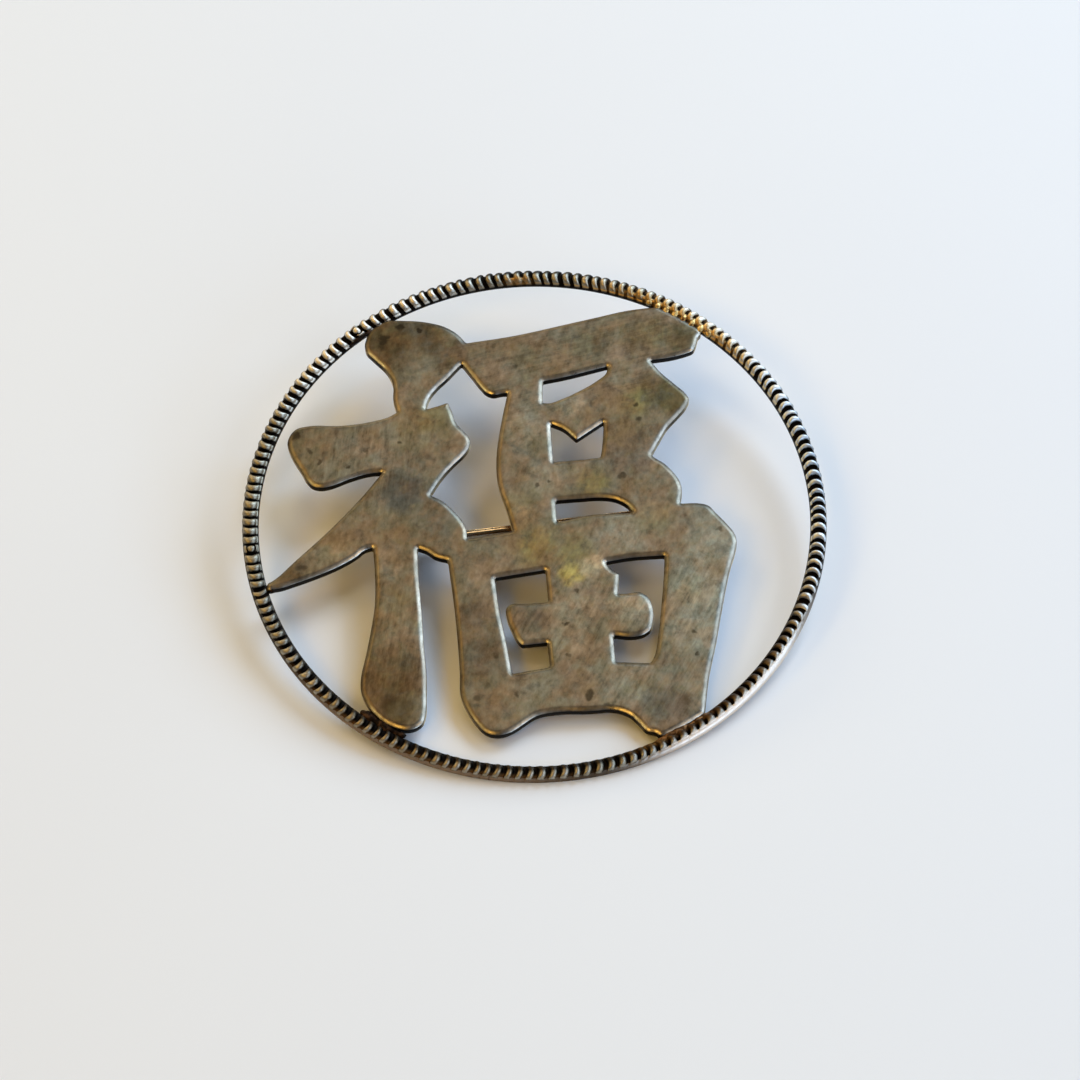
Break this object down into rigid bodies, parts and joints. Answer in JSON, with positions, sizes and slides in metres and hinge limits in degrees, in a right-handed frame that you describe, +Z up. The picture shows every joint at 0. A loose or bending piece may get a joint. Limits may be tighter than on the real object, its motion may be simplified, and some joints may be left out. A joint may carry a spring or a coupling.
{
  "type": "brooch",
  "caption": "Round openwork brooch: a pierced and tarnished silver sheet soldered inside a ring of beaded wire, with a plain pin stem, hinge and hook catch behind.",
  "frame": {"origin": "on the resting surface under the centre of the brooch's bounding box", "axes": "+Z up from the surface on which the brooch lies face up, +Y towards the top of the pierced pattern, +X to the right as seen from the front"},
  "size_m": [0.05, 0.0496, 0.0074],
  "materials": {
    "tarnished_silver": "tarnished silver, finely scratched, bright on the beads of the ring",
    "pin_wire": "drawn wire, lightly tarnished",
    "rivet_wire": "drawn wire, lightly tarnished"
  },
  "bodies": {
    "root": {"pierced_body": "tarnished_silver", "pin_stem": "pin_wire", "hinge_rivet": "rivet_wire"}
  },
  "joints": []
}
